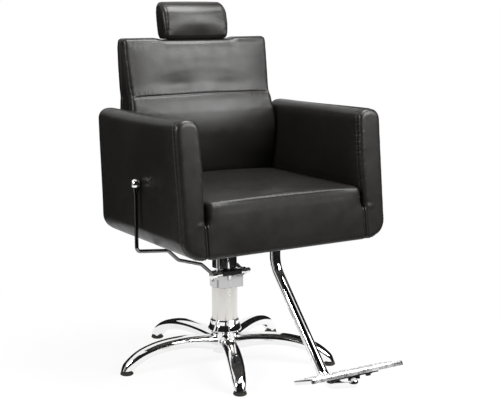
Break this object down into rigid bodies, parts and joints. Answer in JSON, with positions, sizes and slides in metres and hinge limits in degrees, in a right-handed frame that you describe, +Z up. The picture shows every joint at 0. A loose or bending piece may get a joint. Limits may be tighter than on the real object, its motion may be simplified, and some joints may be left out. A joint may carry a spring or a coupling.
{
  "type": "salon threading chair",
  "caption": "Upholstered salon chair for eyebrow threading: seat with arms, reclining back, sliding headrest, hydraulic pump with hand lever, star base, bar footrest.",
  "frame": {"origin": "on the floor, on the pump's vertical axis", "axes": "+Z up, -Y the way the sitter faces, +X towards the sitter's left"},
  "size_m": [0.6495, 0.9447, 1.0147],
  "materials": {
    "base_chrome": "polished",
    "glide_rubber": "matte",
    "bush_bronze": "machined",
    "pump_steel": "machined",
    "column_satin": "satin",
    "head_chrome": "polished",
    "housing_black": "gloss",
    "lever_chrome": "polished",
    "neck_chrome": "dark polished",
    "bracket_black": "satin powder coat",
    "pin_steel": "ground",
    "spring_black": "gloss",
    "rod_chrome": "hard chrome",
    "release_black": "satin",
    "board_wood": "raw plywood",
    "seat_leather": "soft sheen",
    "back_leather": "soft sheen",
    "head_leather": "soft sheen",
    "footrest_chrome": "polished",
    "tread_steel": "ribbed, polished",
    "guide_steel": "satin",
    "liner_nylon": "matte",
    "stem_chrome": "polished"
  },
  "bodies": {
    "base": {"star_base": "base_chrome", "glides": "glide_rubber", "glide_nuts": "base_chrome", "collar_ring": "base_chrome", "swivel_bush": "bush_bronze", "thrust_washer": "bush_bronze"},
    "pump": {"pump_cylinder": "pump_steel", "retaining_nut": "pump_steel", "column_shroud": "column_satin", "pump_head": "head_chrome", "clamp_screw": "head_chrome", "gland_nut": "head_chrome", "shaft_housing": "housing_black"},
    "lever": {"lever_shaft": "lever_chrome", "lever_rod": "lever_chrome", "return_arm": "lever_chrome", "knob_ferrule": "lever_chrome", "lever_knob": "lever_chrome"},
    "seat": {"ram": "pump_steel", "ram_piston": "pump_steel", "neck_sleeve": "neck_chrome", "mounting_plate": "bracket_black", "seat_board": "board_wood", "arm_frame_left": "board_wood", "arm_frame_right": "board_wood", "arm_pad_left": "seat_leather", "arm_pad_right": "seat_leather", "seat_cushion": "seat_leather", "footrest_socket": "bracket_black", "footrest_tube": "footrest_chrome", "footrest_end_cap": "footrest_chrome", "footrest_crossbar": "footrest_chrome", "foot_plate": "footrest_chrome", "tread_sheet": "tread_steel", "seat_hinge_left": "bracket_black", "seat_hinge_right": "bracket_black", "hinge_pins": "pin_steel", "gas_cylinder": "spring_black", "spring_saddles": "bracket_black", "release_head": "spring_black", "release_bracket": "bracket_black"},
    "back": {"back_board": "board_wood", "back_lower_cushion": "back_leather", "back_upper_cushion": "back_leather", "back_rear_panel": "back_leather", "back_hinge_left": "bracket_black", "back_hinge_right": "bracket_black", "back_crank": "bracket_black", "headrest_guide": "guide_steel", "guide_liner": "liner_nylon"},
    "headrest": {"headrest_stem": "stem_chrome", "headrest_core": "board_wood", "headrest_pad": "head_leather"},
    "gas_rod": {"gas_rod": "rod_chrome"},
    "release_lever": {"release_lever": "release_black"}
  },
  "joints": [
    {"name": "swivel", "type": "hinge", "parent": "base", "child": "pump", "pos_m": [0, 0, 0.1], "axis": [0, 0, 1], "continuous": true},
    {"name": "lift", "type": "slide", "parent": "pump", "child": "seat", "axis": [0, 0, 1], "range_m": [0, 0.12]},
    {"name": "lever_press", "type": "hinge", "parent": "pump", "child": "lever", "pos_m": [0, -0.036, 0.264], "axis": [1, 0, 0], "range_deg": [0, 25], "stiffness_Nm_per_rad": 1.5, "springref_deg": -22.92},
    {"name": "recline", "type": "hinge", "parent": "seat", "child": "back", "pos_m": [0, 0.165, 0.44], "axis": [-1, 0, 0], "range_deg": [0, 45]},
    {"name": "headrest_slide", "type": "slide", "parent": "back", "child": "headrest", "axis": [0, 0, 1], "range_m": [0, 0.1]},
    {"name": "gas_spring_stroke", "type": "slide", "parent": "seat", "child": "gas_rod", "axis": [0, -1, 0], "range_m": [0, 0.0575]},
    {"name": "release_press", "type": "hinge", "parent": "seat", "child": "release_lever", "pos_m": [0.125, -0.073, 0.36785], "axis": [-1, 0, 0], "range_deg": [0, 12], "stiffness_Nm_per_rad": 0.6, "springref_deg": -17.19}
  ],
  "couplings": [
    {"joint": "gas_spring_stroke", "follows": "recline", "m_per_rad": 0.0731}
  ]
}
